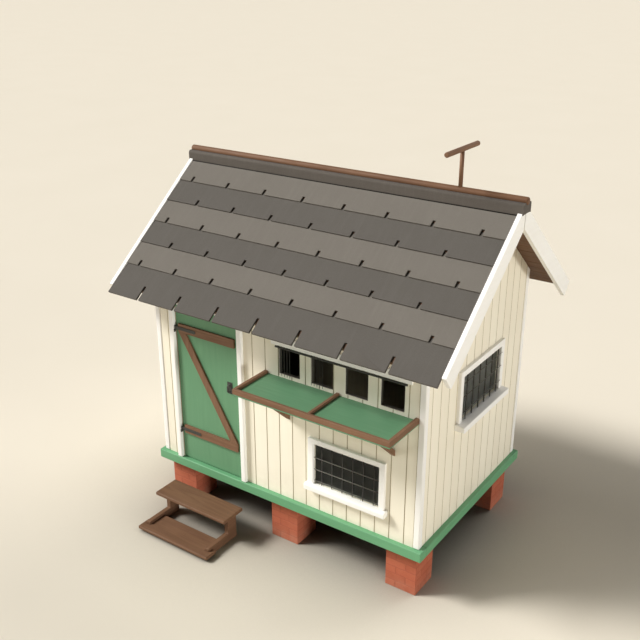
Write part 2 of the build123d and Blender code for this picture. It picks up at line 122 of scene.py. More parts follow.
# Window bars, given as width and depth, and panes
upright_count = 6
bar_pitch_front = 0.1076
bar_pitch_gable = 0.124
bar_size_front = (0.006, 0.006)
bar_size_gable = (0.008, 0.010)
bar_stand_front = 0.004
bar_stand_gable = 0.020
bar_offset_front = 0.010
bar_edge = 0.0012
cross_bar_radius = 0.003
cross_bars_front = (0.843, 0.960, 1.078)
cross_bars_gable = (1.581, 1.731, 1.86)
pane_thickness = 0.004
pane_fit = 0.0005
pane_edge = 0.0005

# Door ironwork: the straps' height and thickness, and the screws along them and in the handle's plate
strap_height = 0.032
strap_thickness = 0.005
strap_screw_places = (0.028, 0.100, 0.172)
plate_thickness = 0.005
plate_screw_inset = 0.009

# Heads of screws and nails, given as radius and height, and how far they sink in
strap_screw = (0.0042, 0.0016)
plate_screw = (0.0036, 0.0014)
tread_nail = (0.0045, 0.001)
screw_seat = 0.001


def tint(red, green, blue):
    """A colour given in the 0 to 255 of paint charts, as the linear values that shaders take."""
    linear = []
    for level in (red, green, blue):
        part = level / 255
        linear.append(part / 12.92 if part <= 0.04045 else ((part + 0.055) / 1.055) ** 2.4)
    return (*linear, 1.0)


# Heights that splashes start and end at, the dust they leave on brick, and what the glass lets through
wall_splash = (0.53, 0.85)
pier_splash = (0.0, 0.16)
ground_dust = tint(203, 176, 150)
light_through_glass = tint(214, 220, 214)


# Shader graphs


def fill_sockets(tree, made, sockets):
    """Sets a node's sockets from numbers or from other nodes' outputs."""
    for name, value in sockets.items():
        if isinstance(value, bpy.types.NodeSocket):
            tree.links.new(value, made.inputs[name])
        else:
            made.inputs[name].default_value = value


def shade(tree, kind, sockets=None, **settings):
    """A shader node with its settings and its sockets."""
    made = tree.nodes.new("ShaderNode" + kind)
    for name, value in settings.items():
        setattr(made, name, value)
    fill_sockets(tree, made, sockets or {})
    return made


def maths(tree, operation, first, second=0.0):
    """The result of one sum on numbers or on other nodes' outputs."""
    return shade(tree, "Math", {0: first, 1: second}, operation=operation).outputs[0]


def remap(tree, value, low, high, to_low=0.0, to_high=1.0, **settings):
    """Stretches one range of a value to another, and holds it there."""
    sockets = {"Value": value, "From Min": low, "From Max": high, "To Min": to_low, "To Max": to_high}
    return shade(tree, "MapRange", sockets, **settings).outputs["Result"]


def blend(tree, factor, first, second):
    """Mixes two colours. Sockets 6 and 7 of the Mix node are its colours, and output 2 is the result."""
    sockets = {0: factor, 6: first, 7: second}
    return shade(tree, "Mix", sockets, data_type="RGBA").outputs[2]


def wash(tree, colour, other, mask, low, high, amount):
    """Blends towards another colour as a mask rises from low to high, up to an amount."""
    return blend(tree, remap(tree, mask, low, high, 0.0, amount), colour, other)


def stretched(tree, vector, scale):
    """Coordinates pulled long along a board, so that a pattern runs with it."""
    return shade(tree, "VectorMath", {0: vector, 1: scale}, operation="MULTIPLY").outputs[0]


def noise(tree, vector, scale, detail=2.0, roughness=0.5):
    """Soft noise from 0 to 1, as many clouds to the metre as its scale."""
    sockets = {"Vector": vector, "Scale": scale, "Detail": detail, "Roughness": roughness}
    return shade(tree, "TexNoise", sockets).outputs["Fac"]


def shader_group(name, inputs, outputs):
    """An empty node group, with the sockets that its graph starts from and those that it ends in."""
    group = bpy.data.node_groups.new(name, "ShaderNodeTree")
    for label, kind, value in inputs:
        socket = group.interface.new_socket(label, in_out="INPUT", socket_type="NodeSocket" + kind)
        if value is not None:
            socket.default_value = value
    for label, kind in outputs:
        group.interface.new_socket(label, in_out="OUTPUT", socket_type="NodeSocket" + kind)
    return group, group.nodes.new("NodeGroupInput").outputs, group.nodes.new("NodeGroupOutput").inputs


def use(tree, group, sockets):
    """Places a node group in a material with its own values, and gives the group's outputs."""
    made = tree.nodes.new("ShaderNodeGroup")
    made.node_tree = group
    fill_sockets(tree, made, sockets)
    return made.outputs


def brush_marks_group():
    """Paint that was brushed along the grain: streaks, soft patches and a fine relief."""
    inputs = [("Vector", "Vector", None), ("Along", "Vector", (1.0, 1.0, 1.0))]
    outputs = [("Streaks", "Float"), ("Patches", "Float"), ("Height", "Float")]
    group, start, end = shader_group("brush_marks", inputs, outputs)
    along = stretched(group, start["Vector"], start["Along"])
    streaks = noise(group, along, scale=34.0, detail=5.0, roughness=0.62)
    fine = noise(group, along, scale=150.0, detail=3.0, roughness=0.6)
    patches = noise(group, start["Vector"], scale=1.7, detail=3.0, roughness=0.55)
    broad = maths(group, "MULTIPLY", streaks, 0.6)
    relief = maths(group, "ADD", broad, maths(group, "MULTIPLY", fine, 0.4))
    group.links.new(streaks, end["Streaks"])
    group.links.new(patches, end["Patches"])
    group.links.new(relief, end["Height"])
    return group


def grain_group():
    """Sawn timber: growth rings drawn out along the board, with fine pores between them."""
    inputs = [("Vector", "Vector", None), ("Along", "Vector", (1.0, 1.0, 1.0))]
    outputs = [("Rings", "Float"), ("Pores", "Float"), ("Patches", "Float"), ("Height", "Float")]
    group, start, end = shader_group("timber_grain", inputs, outputs)
    along = stretched(group, start["Vector"], start["Along"])
    bend = noise(group, along, scale=4.0, detail=3.0, roughness=0.55)
    rings = maths(group, "FRACT", maths(group, "MULTIPLY", bend, 11.0))
    rings = maths(group, "PINGPONG", rings, 0.5)
    rings = maths(group, "MULTIPLY", rings, 2.0)
    pores = noise(group, along, scale=120.0, detail=4.0, roughness=0.7)
    patches = noise(group, start["Vector"], scale=2.6, detail=3.0, roughness=0.55)
    broad = maths(group, "MULTIPLY", rings, 0.35)
    relief = maths(group, "ADD", broad, maths(group, "MULTIPLY", pores, 0.65))
    group.links.new(rings, end["Rings"])
    group.links.new(pores, end["Pores"])
    group.links.new(patches, end["Patches"])
    group.links.new(relief, end["Height"])
    return group


def grit_group():
    """Mineral grains bedded in a sheet: their colour, larger clouds of shade and their relief."""
    inputs = [("Vector", "Vector", None), ("Grains", "Float", 260.0)]
    outputs = [("Speckle", "Float"), ("Clouds", "Float"), ("Height", "Float")]
    group, start, end = shader_group("mineral_grit", inputs, outputs)
    cells = shade(group, "TexVoronoi", {"Vector": start["Vector"], "Scale": start["Grains"]})
    speckle = shade(group, "SeparateColor", {0: cells.outputs["Color"]}).outputs[0]
    clouds = noise(group, start["Vector"], scale=3.1, detail=4.0, roughness=0.6)
    height = maths(group, "SUBTRACT", 1.0, cells.outputs["Distance"])
    group.links.new(speckle, end["Speckle"])
    group.links.new(clouds, end["Clouds"])
    group.links.new(height, end["Height"])
    return group


def splash_group():
    """Where rain splashes up and dust settles: strongest low down, broken up by noise."""
    inputs = [("Vector", "Vector", None), ("Low", "Float", 0.0), ("High", "Float", 1.0)]
    group, start, end = shader_group("splash", inputs, [("Dirt", "Float")])
    height = shade(group, "SeparateXYZ", {0: start["Vector"]}).outputs["Z"]
    falling = remap(group, height, start["Low"], start["High"], 1.0, 0.0, interpolation_type="SMOOTHSTEP")
    broken = noise(group, start["Vector"], scale=9.0, detail=4.0, roughness=0.65)
    dirt = maths(group, "MULTIPLY", falling, remap(group, broken, 0.3, 0.75))
    group.links.new(dirt, end["Dirt"])
    return group


brush_marks = brush_marks_group()
timber_grain = grain_group()
mineral_grit = grit_group()
splash = splash_group()

# The pull of a pattern along each way that a board can run, and down the roof
along_x = (0.06, 1.0, 1.0)
along_y = (1.0, 0.06, 1.0)
along_z = (1.0, 1.0, 0.06)
down_slope = (1.0, 0.09, 0.09)


def new_material(name):
    """A material with only its Principled shader, and the object's own coordinates."""
    material = bpy.data.materials.new(name)
    material.use_nodes = True
    tree = material.node_tree
    tree.nodes.clear()
    shader = shade(tree, "BsdfPrincipled")
    output = shade(tree, "OutputMaterial")
    tree.links.new(shader.outputs["BSDF"], output.inputs["Surface"])
    place = shade(tree, "TexCoord").outputs["Object"]
    return material, tree, shader, place


def attribute(tree, name):
    """A number that each face carries."""
    return shade(tree, "Attribute", attribute_name=name).outputs["Fac"]


def finish_shader(tree, shader, colour, roughness, height, depth, specular=0.5):
    """Puts the varying colour, roughness and relief on the shader, and sets how strongly it mirrors."""
    bump = shade(tree, "Bump", {"Strength": 1.0, "Distance": depth, "Height": height})
    tree.links.new(colour, shader.inputs["Base Color"])
    tree.links.new(roughness, shader.inputs["Roughness"])
    tree.links.new(bump.outputs["Normal"], shader.inputs["Normal"])
    shader.inputs["Specular IOR Level"].default_value = specular


def board_paint(name, base, deep, joint, along):
    """Brushed paint on boards: each board has its own tone, the V-groove faces are darkened as painted
    shade, and splashed dirt low down takes the same darker colour.
    """
    material, tree, shader, place = new_material(name)
    marks = use(tree, brush_marks, {"Vector": place, "Along": along})
    low_dirt = use(tree, splash, {"Vector": place, "Low": wall_splash[0], "High": wall_splash[1]})["Dirt"]
    colour = wash(tree, base, deep, attribute(tree, "tone"), -1.0, 1.0, 0.55)
    colour = wash(tree, colour, deep, marks["Streaks"], 0.35, 0.7, 0.28)
    colour = wash(tree, colour, deep, marks["Patches"], 0.45, 0.75, 0.22)
    colour = wash(tree, colour, joint, low_dirt, 0.0, 1.0, 0.22)
    # Painted shade: the groove faces blend fully to the joint colour.
    colour = blend(tree, attribute(tree, "joint"), colour, joint)
    roughness = remap(tree, marks["Streaks"], 0.3, 0.7, 0.5, 0.68)
    finish_shader(tree, shader, colour, roughness, marks["Height"], depth=0.0003, specular=0.35)
    return material


def plain_paint(name, base, deep, along, rough=0.46):
    """Brushed paint on single pieces of joinery."""
    material, tree, shader, place = new_material(name)
    marks = use(tree, brush_marks, {"Vector": place, "Along": along})
    colour = wash(tree, base, deep, marks["Streaks"], 0.35, 0.7, 0.32)
    colour = wash(tree, colour, deep, marks["Patches"], 0.42, 0.72, 0.4)
    roughness = remap(tree, marks["Streaks"], 0.3, 0.7, rough - 0.06, rough + 0.1)
    finish_shader(tree, shader, colour, roughness, marks["Height"], depth=0.00025, specular=0.4)
    return material


def timber(name, base, deep, pale, along):
    """Bare or oiled timber with rings and pores."""
    material, tree, shader, place = new_material(name)
    grain = use(tree, timber_grain, {"Vector": place, "Along": along})
    colour = wash(tree, base, deep, grain["Rings"], 0.1, 0.95, 0.5)
    colour = wash(tree, colour, deep, grain["Pores"], 0.52, 0.75, 0.55)
    colour = wash(tree, colour, pale, grain["Patches"], 0.4, 0.75, 0.45)
    roughness = remap(tree, grain["Pores"], 0.3, 0.7, 0.54, 0.74)
    finish_shader(tree, shader, colour, roughness, grain["Height"], depth=0.0012, specular=0.3)
    return material


def shingle(name, base, deep, pale):
    """A mineral face: speckled grit, soft clouds and faint runs of rain down the slope."""
    material, tree, shader, place = new_material(name)
    grit = use(tree, mineral_grit, {"Vector": place, "Grains": 240.0})
    runs = noise(tree, stretched(tree, place, down_slope), scale=26.0, detail=4.0, roughness=0.6)
    colour = wash(tree, base, deep, grit["Speckle"], 0.0, 1.0, 0.34)
    colour = wash(tree, colour, pale, grit["Speckle"], 0.86, 1.0, 0.35)
    colour = wash(tree, colour, deep, grit["Clouds"], 0.42, 0.72, 0.22)
    colour = wash(tree, colour, pale, runs, 0.5, 0.75, 0.25)
    roughness = remap(tree, grit["Speckle"], 0.0, 1.0, 0.78, 0.95)
    finish_shader(tree, shader, colour, roughness, grit["Height"], depth=0.0012, specular=0.2)
    return material


def fired_clay(name, base, deep, pale):
    """Brick with a sanded face. Each brick carries its own tone."""
    material, tree, shader, place = new_material(name)
    grit = use(tree, mineral_grit, {"Vector": place, "Grains": 170.0})
    low_dust = use(tree, splash, {"Vector": place, "Low": pier_splash[0], "High": pier_splash[1]})["Dirt"]
    colour = wash(tree, base, deep, attribute(tree, "tone"), -1.0, 1.0, 0.5)
    colour = wash(tree, colour, pale, grit["Clouds"], 0.4, 0.7, 0.4)
    colour = wash(tree, colour, deep, grit["Speckle"], 0.8, 1.0, 0.3)
    colour = wash(tree, colour, ground_dust, low_dust, 0.0, 1.0, 0.3)
    roughness = remap(tree, grit["Speckle"], 0.0, 1.0, 0.74, 0.9)
    finish_shader(tree, shader, colour, roughness, grit["Height"], depth=0.0011, specular=0.25)
    return material


def pane(name, base, dusty):
    """Glass under a film of dust that blurs what it mirrors. It lets the lamps' light through."""
    material, tree, shader, place = new_material(name)
    film = noise(tree, place, scale=7.0, detail=4.0, roughness=0.6)
    colour = wash(tree, base, dusty, film, 0.4, 0.75, 0.6)
    roughness = remap(tree, film, 0.3, 0.7, 0.32, 0.44)
    finish_shader(tree, shader, colour, roughness, film, depth=0.0002)
    shader.inputs["Transmission Weight"].default_value = 1.0
    shader.inputs["IOR"].default_value = 1.25
    shadow_ray = shade(tree, "LightPath").outputs["Is Shadow Ray"]
    clear = shade(tree, "BsdfTransparent", {"Color": light_through_glass})
    mixed = shade(tree, "MixShader", {0: shadow_ray, 1: shader.outputs["BSDF"], 2: clear.outputs[0]})
    output = tree.nodes["Material Output"]
    tree.links.new(mixed.outputs[0], output.inputs["Surface"])
    return material


def iron(name, base, rubbed, rough, metallic):
    """Blacked or dull metal with a little rubbing and bloom."""
    material, tree, shader, place = new_material(name)
    bloom = noise(tree, place, scale=42.0, detail=5.0, roughness=0.65)
    pits = noise(tree, place, scale=420.0)
    colour = wash(tree, base, rubbed, bloom, 0.42, 0.72, 0.7)
    roughness = remap(tree, bloom, 0.3, 0.7, rough - 0.1, rough + 0.12)
    finish_shader(tree, shader, colour, roughness, pits, depth=0.0003)
    shader.inputs["Metallic"].default_value = metallic
    return material


# Finishes: a base colour, a deeper tone and, for timber, shingles and bricks, a paler one

cream = tint(252, 246, 228)
cream_deep = tint(244, 236, 216)
# The joint colour darkens the V-groove faces as painted shade, and is also the colour of splashed dirt low
# down.
cream_joint_shade_and_dirt = tint(188, 175, 147)
cladding_paint = board_paint("cladding_paint", cream, cream_deep, cream_joint_shade_and_dirt, along_z)
# Painted shade: the reveals' depth past the cream paint is coloured dark so that the openings read as
# shaded.
dark_lining_painted_shade = timber("dark_lining_painted_shade", tint(86, 82, 74), tint(72, 68, 61), tint(97, 92, 84), along_z)
white = tint(254, 253, 250)
white_deep = tint(245, 242, 234)
white_upright = plain_paint("white_upright", white, white_deep, along_z)
white_level = plain_paint("white_level", white, white_deep, along_x)
white_gable = plain_paint("white_gable", white, white_deep, along_y)
door_green = plain_paint("door_green", tint(104, 152, 114), tint(92, 138, 103), along_z, rough=0.5)
base_green = plain_paint("base_green", tint(107, 166, 122), tint(92, 149, 107), along_x, rough=0.5)
end_green = plain_paint("end_green", tint(107, 166, 122), tint(92, 149, 107), along_y, rough=0.5)
landing_green = plain_paint("landing_green", tint(97, 142, 107), tint(86, 129, 96), along_x, rough=0.5)
brown = (tint(128, 95, 71), tint(104, 73, 53), tint(141, 108, 83))
brown_level = timber("brown_level", *brown, along_x)
pole_brown = timber("pole_brown", tint(114, 81, 57), tint(94, 64, 44), tint(127, 93, 68), along_x)
brown_cross = timber("brown_cross", *brown, along_y)
brown_upright = timber("brown_upright", *brown, along_z)
step_brown = (tint(119, 87, 63), tint(97, 68, 49), tint(131, 98, 74))
step_level = timber("step_level", *step_brown, along_x)
step_side = timber("step_side", *step_brown, along_y)
soffit_brown = timber("soffit_brown", tint(112, 82, 61), tint(88, 63, 46), tint(124, 93, 70), along_x)
dusty_underside = timber("dusty_underside", tint(66, 58, 49), tint(52, 45, 38), tint(78, 70, 60), along_y)
bare_pine = timber("bare_pine", tint(122, 104, 82), tint(100, 84, 65), tint(136, 118, 95), along_y)
# Painted shade: the pine inside the walls is coloured much darker than bare pine so that the inside reads
# as shaded.
inner_pine_painted_shade = timber("inner_pine_painted_shade", tint(96, 86, 72), tint(80, 71, 59), tint(108, 98, 83), along_z)
light_shingle = shingle("light_shingle", tint(117, 112, 105), tint(107, 102, 95), tint(127, 122, 115))
dark_shingle = shingle("dark_shingle", tint(96, 92, 87), tint(86, 82, 77), tint(106, 102, 97))
# Painted shadow: this near-black colour is for the bead that stands in for the shadow line under the ridge
# capping.
bitumen_painted_shadow = shingle("bitumen_painted_shadow", tint(30, 28, 26), tint(22, 21, 19), tint(40, 38, 35))
ridge_felt = shingle("ridge_felt", tint(97, 91, 85), tint(84, 78, 73), tint(108, 102, 96))
brick = fired_clay("brick", tint(186, 103, 76), tint(168, 88, 63), tint(196, 118, 90))
mortar = fired_clay("mortar", tint(170, 94, 70), tint(158, 84, 62), tint(178, 106, 82))
black_iron = iron("black_iron", tint(62, 62, 58), tint(84, 83, 77), rough=0.5, metallic=0.35)
dull_wire = iron("dull_wire", tint(78, 75, 71), tint(112, 108, 101), rough=0.45, metallic=0.6)
bar_iron = iron("bar_iron", tint(58, 55, 51), tint(74, 70, 65), rough=0.6, metallic=0.1)
# Painted highlight: the round cross bars are coloured far paler than the uprights' bar_iron, as if catching
# the light.
cross_iron_painted_highlight = iron("cross_iron_painted_highlight", tint(112, 107, 101), tint(130, 125, 118), rough=0.5, metallic=0.2)
glass = pane("glass", tint(206, 214, 208), tint(176, 178, 168))


# Objects and meshes


def in_scene(name, data):
    """An object in the scene for a mesh, a lamp or a camera."""
    made = bpy.data.objects.new(name, data)
    bpy.context.scene.collection.objects.link(made)
    return made


def as_piece(mesh, name, body, materials, replaced=()):
    """Turns a bmesh into a finished object that rides on a body."""
    data = bpy.data.meshes.new(name)
    mesh.to_mesh(data)
    mesh.free()
    piece = in_scene(name, data)
    for material in materials:
        data.materials.append(material)
    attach(piece, body)
    if replaced:
        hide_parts(*replaced)
    return piece


def add_mesh(mesh, part):
    """Adds one bmesh to another with what its faces carry, and frees it."""
    saved = bpy.data.meshes.new("part")
    part.to_mesh(saved)
    part.free()
    mesh.from_mesh(saved)
    bpy.data.meshes.remove(saved)


def merged(name):
    """A bmesh of a CAD node, with its loose triangles joined and its flat faces whole."""
    mesh = bmesh.new()
    mesh.from_mesh(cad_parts[name].data)
    bmesh.ops.remove_doubles(mesh, verts=mesh.verts, dist=weld_distance)
    bmesh.ops.dissolve_limit(mesh, angle_limit=flat_angle, verts=mesh.verts, edges=mesh.edges)
    return mesh


def cut_away(mesh, point, direction):
    """Takes off what lies beyond a plane, and closes the cut."""
    geometry = mesh.verts[:] + mesh.edges[:] + mesh.faces[:]
    cut = bmesh.ops.bisect_plane(
        mesh, geom=geometry, dist=weld_distance, plane_co=point, plane_no=direction, clear_outer=True
    )
    edges = [part for part in cut["geom_cut"] if isinstance(part, bmesh.types.BMEdge)]
    if edges:
        bmesh.ops.holes_fill(mesh, edges=edges, sides=0)


def joint_edges(board, low, high, across, face, face_point):
    """The long edges of a board, where its two sides meet its face."""
    found = []
    for edge in board.edges:
        ends = [vertex.co for vertex in edge.verts]
        on_face = all(abs((end - face_point).dot(face)) < plane_tolerance for end in ends)
        reach = [end.dot(across) for end in ends]
        at_low = all(abs(place - low) < plane_tolerance for place in reach)
        at_high = all(abs(place - high) < plane_tolerance for place in reach)
        if on_face and (at_low or at_high):
            found.append(edge)
    return found


def board_piece(name, across, joints, face, face_point, groove, rng):
    """Saws a CAD slab into boards across one direction, with a V joint between them on one face."""
    whole = merged(name)
    result = bmesh.new()
    for mesh in (whole, result):
        mesh.faces.layers.float.new("tone")
        mesh.faces.layers.float.new("joint")
    for low, high in zip(joints, joints[1:]):
        board = whole.copy()
        tone = board.faces.layers.float["tone"]
        joint = board.faces.layers.float["joint"]
        shade_of_board = rng.uniform(-1.0, 1.0)
        cut_away(board, across * high, across)
        cut_away(board, across * low, -across)
        if not board.faces:
            board.free()
            continue
        for board_face in board.faces:
            board_face[tone] = shade_of_board
        edges = joint_edges(board, low, high, across, face, face_point)
        if edges:
            made = bmesh.ops.bevel(
                board, geom=edges, offset=groove, affect="EDGES", segments=1, profile=0.5, material=-1
            )
            for slope in made["faces"]:
                slope[joint] = 1.0
                slope[tone] = shade_of_board
        add_mesh(result, board)
    whole.free()
    return result


def joint_places(low, high, first, pitch):
    """Board joints between two ends, in step with one known joint, and none at an end itself."""
    start = ceil((low - first) / pitch + narrowest_board)
    stop = floor((high - first) / pitch - narrowest_board)
    return [low] + [first + i * pitch for i in range(start, stop + 1)] + [high]


def clad_wall(name, across, first, pitch, face, face_point, reveal, rng):
    """A wall of upright boards, painted cream as deep as its reveals show, coloured dark past that as
    painted shade of the openings' depth, and darkened bare pine inside, which is painted shade too.
    """
    finishes = [cladding_paint, dark_lining_painted_shade, inner_pine_painted_shade]
    low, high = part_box(name)
    joints = joint_places(low.dot(across), high.dot(across), first, pitch)
    mesh = board_piece(name, across, joints, face, face_point, cladding_groove, rng)
    paint_end = face_point - face * reveal
    geometry = mesh.verts[:] + mesh.edges[:] + mesh.faces[:]
    bmesh.ops.bisect_plane(mesh, geom=geometry, dist=weld_distance, plane_co=paint_end, plane_no=face)
    # Inward faces take the darkened pine and reveal faces past the paint take the dark lining, both painted
    # shade.
    for wall_face in mesh.faces:
        if wall_face.normal.dot(face) < turned_away:
            wall_face.material_index = finishes.index(inner_pine_painted_shade)
        elif (wall_face.calc_center_median() - paint_end).dot(face) < plane_tolerance:
            wall_face.material_index = finishes.index(dark_lining_painted_shade)
    as_piece(mesh, name + "_boards", "loft", finishes, [name])


def ease_edges(piece, edge, segments):
    """Rounds the sharp edges of a piece, once its loose triangles are joined."""
    weld = piece.modifiers.new("join", "WELD")
    weld.merge_threshold = weld_distance
    ease = piece.modifiers.new("ease", "BEVEL")
    ease.width = edge
    ease.segments = segments
    ease.limit_method = "ANGLE"
    ease.angle_limit = sharp_angle


def dress(name, material, edge=0.0, segments=2):
    """Gives a CAD node its finish, and eases its sharp edges."""
    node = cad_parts[name]
    for slot in node.material_slots:
        slot.material = material
    if edge:
        ease_edges(node, edge, segments)


def once_each(parts):
    """Parts of a mesh, each only once and in the same order on every run."""
    return list(dict.fromkeys(parts))


def turned_from_z(start, end):
    """A placement that lays the Z axis from one point to another, centred between them."""
    direction = end - start
    turn = Vector((0, 0, 1)).rotation_difference(direction).to_matrix().to_4x4()
    return Matrix.Translation((start + end) / 2) @ turn


def add_round_bar(mesh, start, end, radius, sides, rim=0.0):
    """Adds a round bar whose end rims are eased."""
    made = bmesh.ops.create_cone(
        mesh, cap_ends=True, segments=sides, radius1=radius, radius2=radius, depth=(end - start).length
    )
    verts = made["verts"]
    bmesh.ops.transform(mesh, verts=verts, matrix=turned_from_z(start, end))
    faces = once_each(face for vertex in verts for face in vertex.link_faces)
    for face in faces:
        face.smooth = len(face.verts) == 4
    if rim:
        caps = [face for face in faces if len(face.verts) == sides]
        rims = once_each(edge for cap in caps for edge in cap.edges)
        eased = bmesh.ops.bevel(
            mesh, geom=rims, offset=rim, affect="EDGES", segments=3, profile=0.5, material=-1
        )
        for face in eased["faces"]:
            face.smooth = True


def add_block(mesh, low, high, edge=0.0):
    """Adds a block between two corners, with eased edges, and returns its faces."""
    made = bmesh.ops.create_cube(mesh, size=1.0)
    verts = made["verts"]
    size = high - low
    bmesh.ops.scale(mesh, verts=verts, vec=size)
    bmesh.ops.translate(mesh, verts=verts, vec=(low + high) / 2)
    faces = once_each(face for vertex in verts for face in vertex.link_faces)
    if edge:
        edges = once_each(rim for face in faces for rim in face.edges)
        eased = bmesh.ops.bevel(
            mesh, geom=edges, offset=edge, affect="EDGES", segments=1, profile=0.5, material=-1
        )
        corners = once_each(vertex for face in eased["faces"] for vertex in face.verts)
        faces = once_each(face for vertex in corners for face in vertex.link_faces)
    return faces


# Walls, roof boards and floor


def make_walls():
    """Boards on all four sides. The back wall's joints are in line with the front's."""
    rng = Random(11)
    across_x = Vector((1, 0, 0))
    across_y = Vector((0, 1, 0))
    sides = (
        ("front_wall_left", -1, wall_front),
        ("front_wall_over_door", -1, wall_front),
        ("front_wall_right", -1, wall_front),
        ("back_wall", 1, wall_back),
    )
    for name, side, face_y in sides:
        outward = Vector((0, side, 0))
        face_point = Vector((0, face_y, 0))
        clad_wall(name, across_x, front_joint, front_board, outward, face_point, front_reveal, rng)
    for name, side in (("right_gable_wall", 1), ("left_gable_wall", -1)):
        outward = Vector((side, 0, 0))
        clad_wall(name, across_y, gable_joint, gable_board, outward, outward * wall_end, gable_reveal, rng)


def make_roof_boards():
    """The boarding under the shingles, seen from below at the eaves and the gable ends."""
    rng = Random(23)
    drop_at_ridge = deck_thickness / cos(roof_pitch)
    for name, side in (("front_roof_deck", -1), ("back_roof_deck", 1)):
        across = Vector((0, side * cos(roof_pitch), -sin(roof_pitch)))
        outward = Vector((0, -side * sin(roof_pitch), -cos(roof_pitch)))
        under = Vector((0, middle_y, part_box(name)[1].z - drop_at_ridge))
        reach = [vertex.co.dot(across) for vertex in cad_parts[name].data.vertices]
        low = min(reach)
        high = max(reach)
        joints = joint_places(low, high, high - deck_board, deck_board)
        mesh = board_piece(name, across, joints, outward, under, deck_groove, rng)
        as_piece(mesh, name + "_boards", "loft", [soffit_brown], [name])


def make_floor():
    """The floor behind the doorway, with dusty timber below it."""
    finishes = [bare_pine, dusty_underside]
    rng = Random(37)
    low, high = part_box("floor_boards")
    joints = joint_places(low.x, high.x, low.x + floor_board, floor_board)
    top = Vector((0, 0, high.z))
    mesh = board_piece("floor_boards", Vector((1, 0, 0)), joints, Vector((0, 0, 1)), top, floor_groove, rng)
    for board_face in mesh.faces:
        if board_face.normal.z < turned_away:
            board_face.material_index = finishes.index(dusty_underside)
    as_piece(mesh, "laid_floor", "loft", finishes, ["floor_boards"])
    dress("floor_joists", dusty_underside)
    dress("door_stops", bare_pine, edge=0.002)


# Brick piers

pier_finishes = [brick, mortar]


def add_brick(mesh, low, high, turn, rng):
    """Adds one brick with its own tone, given where it lies before it is turned to its side of the pier."""
    block = bmesh.new()
    layer = block.faces.layers.float.new("tone")
    faces = add_block(block, low, high, brick_edge)
    shade_of_brick = rng.uniform(-1.0, 1.0)
    for face in faces:
        face[layer] = shade_of_brick
    bmesh.ops.transform(block, verts=block.verts, matrix=turn)
    add_mesh(mesh, block)


def add_pier(mesh, centre_x, centre_y, tone, rng):
    """One pier: four bricks to a course round a mortar core, each course laid the other way round."""
    half = pier_side / 2
    core = half - mortar_recess
    centre = Vector((centre_x, centre_y, 0))
    rise = (pier_high.z - pier_low.z) / brick_courses
    low = centre + Vector((-core, -core, 0.0))
    for face in add_block(mesh, low, centre + Vector((core, core, pier_high.z - mortar_recess))):
        face.material_index = pier_finishes.index(mortar)
        face[tone] = 0.0
    length = pier_side - brick_width - brick_joint
    for course in range(brick_courses):
        x0 = -half if course % 2 else half - length
        z0 = course * rise
        z1 = z0 + rise - (brick_joint if course < brick_courses - 1 else 0.0)
        brick_low = Vector((x0, -half, z0))
        brick_high = Vector((x0 + length, brick_width - half, z1))
        for quarter in range(4):
            turn = Matrix.Translation(centre) @ Matrix.Rotation(quarter * pi / 2, 4, "Z")
            add_brick(mesh, brick_low, brick_high, turn, rng)


def make_piers():
    """Three piers along the front and three along the back."""
    rng = Random(5)
    mesh = bmesh.new()
    tone = mesh.faces.layers.float.new("tone")
    half = pier_side / 2
    for x in (pier_low.x + half, 0.0, pier_high.x - half):
        for y in (pier_low.y + half, pier_high.y - half):
            add_pier(mesh, x, y, tone, rng)
    as_piece(mesh, "laid_bricks", "loft", pier_finishes, ["brick_piers"])


# Ridge and perch


def make_ridge_cap():
    """The capping, with a dark bead under each of its edges as a painted shadow line."""
    dress("ridge_cap", ridge_felt, edge=0.002)
    cap_low, cap_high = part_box("ridge_cap")
    roof_low, roof_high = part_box("light_shingles")
    mesh = bmesh.new()
    for y in (cap_low.y, cap_high.y):
        start = Vector((roof_low.x, y, cap_low.z - shadow_bead_drop))
        end = Vector((roof_high.x, y, cap_low.z - shadow_bead_drop))
        add_round_bar(mesh, start, end, shadow_bead_radius, sides=12)
    as_piece(mesh, "ridge_shadow_bead", "loft", [bitumen_painted_shadow])


def make_ridge_pole():
    """The round pole on the capping."""
    mesh = bmesh.new()
    start = Vector((pole_low.x, pole_y, pole_z))
    end = Vector((pole_high.x, pole_y, pole_z))
    add_round_bar(mesh, start, end, pole_radius, sides=40, rim=pole_rim)
    as_piece(mesh, "rounded_ridge_pole", "loft", [pole_brown], ["ridge_pole"])


def make_perch():
    """The round bar of the perch, and the post that runs from inside the pole up into it."""
    mesh = bmesh.new()
    start = Vector((perch_x, perch_low.y, perch_z))
    end = Vector((perch_x, perch_high.y, perch_z))
    add_round_bar(mesh, start, end, perch_radius, sides=32, rim=perch_rim)
    as_piece(mesh, "rounded_perch_bar", "loft", [brown_cross], ["perch_bar"])
    mesh = bmesh.new()
    foot = Vector((perch_x, pole_y, pole_z + pole_radius * post_foot))
    head = Vector((perch_x, pole_y, perch_z - perch_radius * post_head))
    add_round_bar(mesh, foot, head, post_radius, sides=32)
    as_piece(mesh, "turned_perch_post", "loft", [brown_upright], ["perch_post"])


# Windows


def in_wall(opening, along, depth, z):
    """A point of a window, from its place along the wall, its depth and its height."""
    if opening["along_x"]:
        return Vector((along, depth, z))
    return Vector((depth, along, z))


def add_wall_block(mesh, opening, alongs, depths, heights, edge):
    """Adds a block between two places along the wall, two depths and two heights."""
    corners = [in_wall(opening, *place) for place in zip(alongs, depths, heights)]
    add_block(mesh, Vector(map(min, *corners)), Vector(map(max, *corners)), edge)


